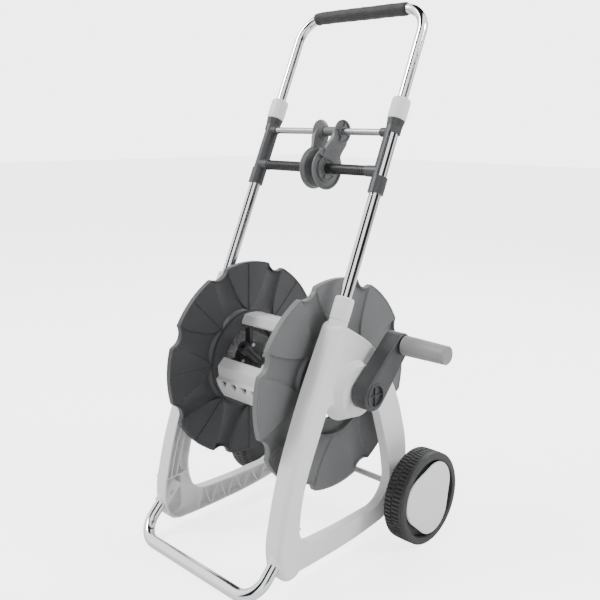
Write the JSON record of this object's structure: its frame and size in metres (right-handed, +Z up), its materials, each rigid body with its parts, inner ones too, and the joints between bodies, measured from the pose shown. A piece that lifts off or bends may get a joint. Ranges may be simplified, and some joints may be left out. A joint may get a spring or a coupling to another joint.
{
  "type": "garden hose reel cart",
  "caption": "Wheeled cart with a crank-turned reel for a garden hose, a telescopic handle and a sliding hose guide.",
  "frame": {"origin": "middle of the cart's box in plan, on the floor", "axes": "+X across the cart towards the crank, +Y from the foot bar towards the wheels, +Z up"},
  "size_m": [0.553, 0.4785, 1.0275],
  "materials": {
    "chrome_tube": "polished chrome-plated steel tube",
    "zinc_steel": "zinc-plated steel",
    "white_plastic": "white moulded plastic, fine satin grain",
    "dark_plastic": "dark grey moulded plastic, satin",
    "black_plastic": "black moulded plastic",
    "grey_plastic": "mid grey moulded plastic, satin",
    "light_plastic": "light grey moulded plastic, satin",
    "bearing_plastic": "natural acetal",
    "tyre_plastic": "dark grey rubbery plastic with shallow blocks",
    "foam_grip": "black closed-cell foam",
    "seal_rubber": "nitrile rubber",
    "inlet_plastic": "dark grey moulded plastic nipple"
  },
  "bodies": {
    "cart_frame": {"foot_bar": "chrome_tube", "foot_bar_screws": "zinc_steel", "left_side_frame": "white_plastic", "right_side_frame": "white_plastic", "left_frame_collet": "dark_plastic", "right_frame_collet": "dark_plastic", "left_reel_bush": "bearing_plastic", "right_reel_bush": "bearing_plastic", "rear_axle": "chrome_tube", "axle_clips": "zinc_steel"},
    "mast": {"left_outer_tube": "chrome_tube", "left_bracket": "dark_plastic", "left_handle_collet": "dark_plastic", "right_outer_tube": "chrome_tube", "right_bracket": "dark_plastic", "right_handle_collet": "dark_plastic", "guide_rod": "chrome_tube", "guide_ribbed_rod": "black_plastic"},
    "handle": {"handle_tube": "chrome_tube", "handle_grip": "foam_grip"},
    "reel": {"left_flange": "grey_plastic", "right_flange": "grey_plastic", "hub_slat_1": "light_plastic", "hub_slat_2": "light_plastic", "hub_slat_3": "light_plastic", "slat_screws": "zinc_steel", "hub_screws": "zinc_steel", "crank_shaft": "bearing_plastic", "water_shaft": "bearing_plastic", "outlet_elbow": "light_plastic", "crank_arm": "dark_plastic", "crank_screw": "zinc_steel", "crank_cap": "dark_plastic", "crank_grip_pin": "zinc_steel"},
    "crank_handle": {"crank_grip": "light_plastic"},
    "water_inlet": {"inlet_connector": "inlet_plastic", "inlet_seals": "seal_rubber"},
    "left_wheel": {"left_tyre": "tyre_plastic", "left_wheel_rim": "dark_plastic", "left_wheel_cap": "white_plastic"},
    "right_wheel": {"right_tyre": "tyre_plastic", "right_wheel_rim": "dark_plastic", "right_wheel_cap": "white_plastic"},
    "hose_guide": {"guide_left_cheek": "dark_plastic", "guide_right_cheek": "dark_plastic", "guide_spacer": "dark_plastic"},
    "hose_roller": {"guide_roller": "black_plastic"},
    "left_frame_clamp": {"left_frame_nut": "white_plastic"},
    "right_frame_clamp": {"right_frame_nut": "white_plastic"},
    "left_handle_clamp": {"left_handle_nut": "white_plastic"},
    "right_handle_clamp": {"right_handle_nut": "white_plastic"}
  },
  "joints": [
    {"name": "mast_height", "type": "slide", "parent": "cart_frame", "child": "mast", "axis": [0, 0.3939, 0.9191], "range_m": [-0.16, 0]},
    {"name": "handle_height", "type": "slide", "parent": "mast", "child": "handle", "axis": [0, 0.3939, 0.9191], "range_m": [-0.11, 0]},
    {"name": "reel_turn", "type": "hinge", "parent": "cart_frame", "child": "reel", "pos_m": [-0.0335, 0.01275, 0.3205], "axis": [1, 0, 0], "continuous": true},
    {"name": "crank_grip_turn", "type": "hinge", "parent": "reel", "child": "crank_handle", "pos_m": [0.2265, 0.09094, 0.39787], "axis": [1, 0, 0], "continuous": true},
    {"name": "inlet_turn", "type": "hinge", "parent": "cart_frame", "child": "water_inlet", "pos_m": [-0.2335, 0.01275, 0.3205], "axis": [1, 0, 0], "continuous": true},
    {"name": "left_wheel_turn", "type": "hinge", "parent": "cart_frame", "child": "left_wheel", "pos_m": [-0.2535, 0.15025, 0.089], "axis": [1, 0, 0], "continuous": true},
    {"name": "right_wheel_turn", "type": "hinge", "parent": "cart_frame", "child": "right_wheel", "pos_m": [0.1865, 0.15025, 0.089], "axis": [1, 0, 0], "continuous": true},
    {"name": "hose_guide_travel", "type": "slide", "parent": "mast", "child": "hose_guide", "axis": [1, 0, 0], "range_m": [-0.12, 0.092]},
    {"name": "hose_roller_turn", "type": "hinge", "parent": "hose_guide", "child": "hose_roller", "pos_m": [-0.0195, 0.0787, 0.71115], "axis": [1, 0, 0], "continuous": true},
    {"name": "left_frame_nut_turn", "type": "hinge", "parent": "cart_frame", "child": "left_frame_clamp", "pos_m": [-0.1935, -0.01848, 0.47427], "axis": [0, 0.3939, 0.9191], "range_deg": [-90, 0]},
    {"name": "left_handle_nut_turn", "type": "hinge", "parent": "mast", "child": "left_handle_clamp", "pos_m": [-0.1935, 0.1328, 0.82722], "axis": [0, 0.3939, 0.9191], "range_deg": [-90, 0]},
    {"name": "right_frame_nut_turn", "type": "hinge", "parent": "cart_frame", "child": "right_frame_clamp", "pos_m": [0.1265, -0.01848, 0.47427], "axis": [0, 0.3939, 0.9191], "range_deg": [-90, 0]},
    {"name": "right_handle_nut_turn", "type": "hinge", "parent": "mast", "child": "right_handle_clamp", "pos_m": [0.1265, 0.1328, 0.82722], "axis": [0, 0.3939, 0.9191], "range_deg": [-90, 0]}
  ]
}
